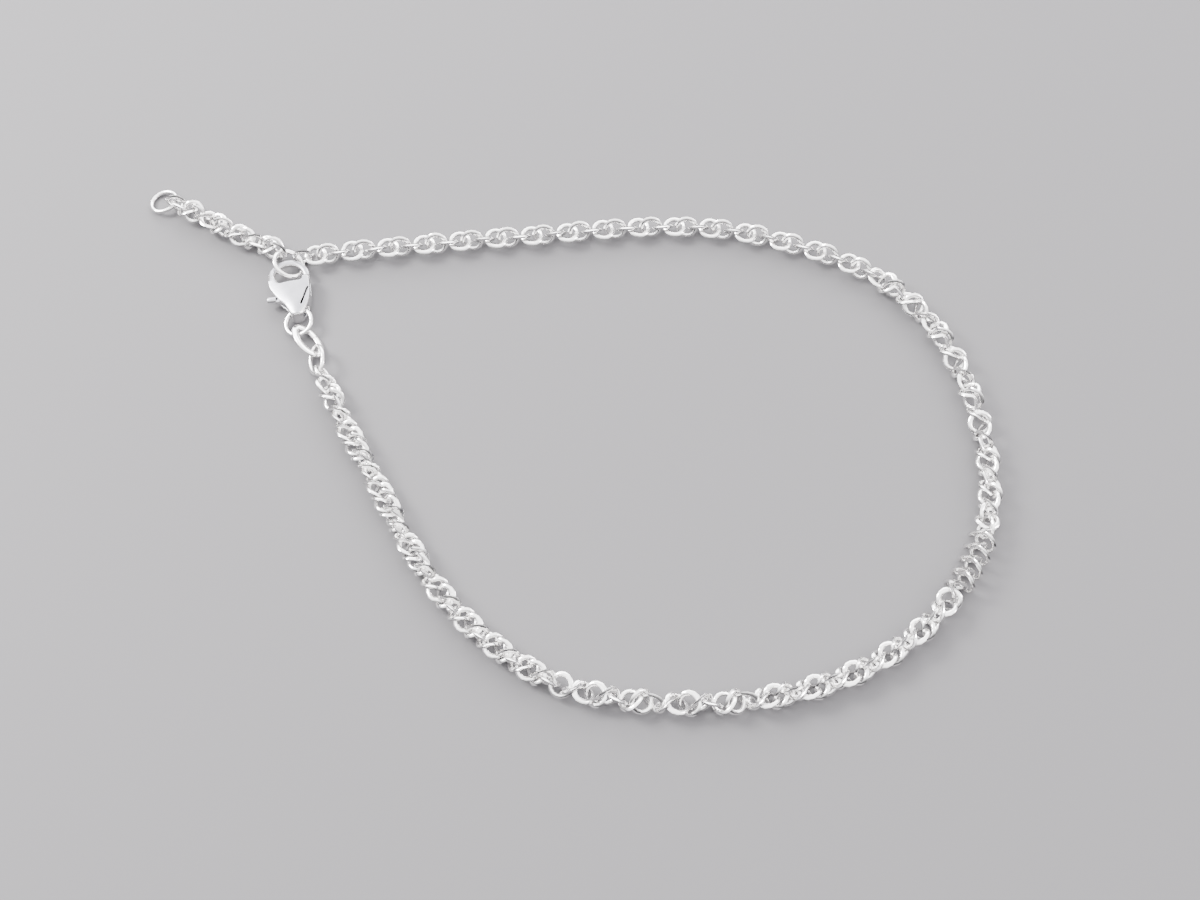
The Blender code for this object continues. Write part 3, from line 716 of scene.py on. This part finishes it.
def mark_slit_shade(mesh):
    """Mark the depth of the slit, whose walls are given painted shade, nearly black."""
    low, high = (body_point(*row) for row in SLIT_ROWS)
    run = high - low
    values = []
    for vertex in mesh.vertices:
        place = vertex.co.xy - low
        along = place.dot(run) / run.length_squared
        aside = (place - along * run).length
        sunk = body_middle - abs(vertex.co.z - body_middle)
        within = 0 < along < 1 and aside < SLIT_WIDTH / 2 + SLIT_EDGE
        values.append(1.0 if within and sunk > SLIT_SHADE_FROM else 0.0)
    # The depth attribute marks where the slit gets painted shade
    mesh.attributes.new("depth", "FLOAT", "POINT").data.foreach_set("value", values)


def mark_polish(mesh, most):
    """Share of polish for each vertex: none on the flat faces, and most on rounded edges."""
    polish = mesh.attributes.new("polish", "FLOAT", "POINT")
    flat = [min(1.0, max(0.0, abs(vertex.normal.z) - EDGE_NORMAL) / (FACE_NORMAL - EDGE_NORMAL))
            for vertex in mesh.vertices]
    polish.data.foreach_set("value", [most * (1 - value) for value in flat])


def cast_silver(name):
    """Cast silver: brushed satin with a fine grain on its faces, brighter on polished edges, and
    painted shade, nearly black, deep in the slit.
    """
    material = bpy.data.materials.new(name)
    material.use_nodes = True
    tree = material.node_tree
    shader = tree.nodes["Principled BSDF"]
    shader.inputs["Metallic"].default_value = 1.0
    coords = add_node(tree, "ShaderNodeTexCoord")
    polish = out(add_node(tree, "ShaderNodeAttribute", attribute_name="polish"), "Fac")
    cloud = add_node(tree, "ShaderNodeTexNoise", {
        "Vector": coords.outputs["Object"], "Scale": 600.0, "Detail": 4.0, "Roughness": 0.6})
    tone = add_node(tree, "ShaderNodeValToRGB", {"Fac": out(cloud)})
    tone.color_ramp.elements[0].position = 0.25
    tone.color_ramp.elements[0].color = (0.31, 0.31, 0.34, 1)
    tone.color_ramp.elements[1].position = 0.7
    tone.color_ramp.elements[1].color = (0.39, 0.39, 0.42, 1)
    bright = add_node(tree, "ShaderNodeMix", {
        "Factor": polish, "A": out(tone), "B": (0.95, 0.94, 0.94, 1)}, data_type="RGBA")
    # Painted shade: where the depth attribute marks the slit, the colour is painted nearly black
    depth = out(add_node(tree, "ShaderNodeAttribute", attribute_name="depth"), "Fac")
    shaded = add_node(tree, "ShaderNodeMix", {
        "Factor": depth, "A": out(bright), "B": SLIT_PAINTED_SHADE}, data_type="RGBA")
    tree.links.new(out(shaded), shader.inputs["Base Color"])
    gloss = add_node(tree, "ShaderNodeMapRange", {"Value": polish, "To Min": 0.38, "To Max": 0.15})
    spread = add_node(tree, "ShaderNodeMapRange", {
        "Value": out(cloud), "To Min": -0.06, "To Max": 0.06})
    rough = add_node(tree, "ShaderNodeMath", {0: out(gloss), 1: out(spread)}, operation="ADD")
    tree.links.new(out(rough), shader.inputs["Roughness"])
    brushed = add_node(tree, "ShaderNodeMapping", {
        "Vector": coords.outputs["Object"], "Rotation": (0, 0, -math.radians(CLASP_TURN_DEG)),
        "Scale": (6.0, 1.0, 2.0)})
    grain = add_node(tree, "ShaderNodeTexNoise", {
        "Vector": out(brushed), "Scale": 5000.0, "Detail": 3.0, "Roughness": 0.7})
    bump = add_node(tree, "ShaderNodeBump", {
        "Height": out(grain), "Strength": 0.18, "Distance": 0.02 * MM})
    tree.links.new(out(bump), shader.inputs["Normal"])
    return material


def clasp_piece(name, mesh, lie, polish, body, node):
    """Finished piece of the clasp, laid in place and handed to the frame."""
    mesh.transform(lie @ Matrix.Scale(MM, 4))
    piece = finished_piece(name, mesh)
    mark_polish(piece.data, polish)
    piece.data.materials.clear()
    piece.data.materials.append(clasp_silver)
    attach(piece, body)
    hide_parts(node)


clasp_silver = cast_silver("clasp_silver")
body = body_mesh()
dome_face(body)
mark_slit_shade(body)
clasp_piece("cast_body", body, clasp_lie, BODY_POLISH, "anklet", "clasp_body")
lever_lie = clasp_lie @ Matrix.Translation(Vector((*PIVOT, body_middle)) * MM)
clasp_piece("sprung_lever", lever_mesh(), lever_lie, LEVER_POLISH, "lever", "clasp_lever")

# The hidden pin keeps its solid, in plain steel
pin_steel = silver("pin_steel", (0.62, 0.62, 0.64), 0.3, 0.1, 0.1)
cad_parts["lever_pin"].data.materials.clear()
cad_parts["lever_pin"].data.materials.append(pin_steel)


# Table
# A plain pale matt board, the surface that the anklet lies on.
floor_mesh = bpy.data.meshes.new("floor")
floor_bm = bmesh.new()
bmesh.ops.create_grid(floor_bm, x_segments=1, y_segments=1, size=1.5)
floor_bm.to_mesh(floor_mesh)
floor_bm.free()
floor = bpy.data.objects.new("floor", floor_mesh)
bpy.context.scene.collection.objects.link(floor)
board = bpy.data.materials.new("pale_board")
board.use_nodes = True
board_shader = board.node_tree.nodes["Principled BSDF"]
board_shader.inputs["Base Color"].default_value = (0.128, 0.125, 0.131, 1)
board_shader.inputs["Roughness"].default_value = 0.75
floor_mesh.materials.append(board)


# Light and camera
# Soft studio light: a soft box high at the left, a strip at the right, a wide low one behind, and
# a bright ceiling that falls dark towards the horizon and on the camera's side.
def soft_box(name, place, target, size, watts, color):
    """Rectangular lamp at a place, turned to its target."""
    data = bpy.data.lights.new(name, "AREA")
    data.shape = "RECTANGLE"
    data.size, data.size_y = size
    data.energy = watts
    data.color = color
    lamp = bpy.data.objects.new(name, data)
    lamp.location = place
    lamp.rotation_euler = (Vector(target) - Vector(place)).to_track_quat("-Z", "Y").to_euler()
    bpy.context.scene.collection.objects.link(lamp)


LOOK_AT = Vector((5.85, -2.5, 0)) * MM
soft_box("key", (-0.30, 0.12, 0.26), LOOK_AT, (0.14, 0.14), 4.2, (1.0, 0.985, 0.97))
soft_box("edge", (0.32, 0.02, 0.16), LOOK_AT, (0.05, 0.2), 0.7, (1.0, 0.95, 0.97))
soft_box("back", (-0.02, 0.33, 0.19), LOOK_AT, (0.5, 0.2), 2.8, (1.0, 1.0, 1.0))
world = bpy.data.worlds.new("room")
world.use_nodes = True
sky = world.node_tree
background = sky.nodes["Background"]
direction = add_node(sky, "ShaderNodeTexCoord")
height = add_node(sky, "ShaderNodeSeparateXYZ", {"Vector": direction.outputs["Generated"]})
ceiling = add_node(sky, "ShaderNodeValToRGB", {"Fac": height.outputs["Z"]})
ceiling.color_ramp.elements[0].position = 0.15
ceiling.color_ramp.elements[0].color = (0.03, 0.03, 0.035, 1)
ceiling.color_ramp.elements[1].position = 0.75
ceiling.color_ramp.elements[1].color = (1.0, 0.99, 1.0, 1)
middle = ceiling.color_ramp.elements.new(0.42)
middle.color = (0.58, 0.57, 0.59, 1)
sky.links.new(out(ceiling), background.inputs["Color"])
camera_side = add_node(sky, "ShaderNodeMapRange", {
    "Value": height.outputs["Y"], "From Min": -0.8, "From Max": -0.2, "To Min": 0.6, "To Max": 5.0})
sky.links.new(out(camera_side), background.inputs["Strength"])
bpy.context.scene.world = world

camera_data = bpy.data.cameras.new("camera")
camera_data.lens = 42
camera_data.sensor_width = 36
camera_data.clip_start = 0.005
camera = bpy.data.objects.new("camera", camera_data)
CAMERA_ELEVATION_DEG = 63.0
CAMERA_DISTANCE = 165.0 * MM
elevation = math.radians(CAMERA_ELEVATION_DEG)
camera.location = LOOK_AT + Vector((0, -math.cos(elevation), math.sin(elevation))) * CAMERA_DISTANCE
camera.rotation_euler = (LOOK_AT - camera.location).to_track_quat("-Z", "Y").to_euler()
bpy.context.scene.collection.objects.link(camera)
bpy.context.scene.camera = camera
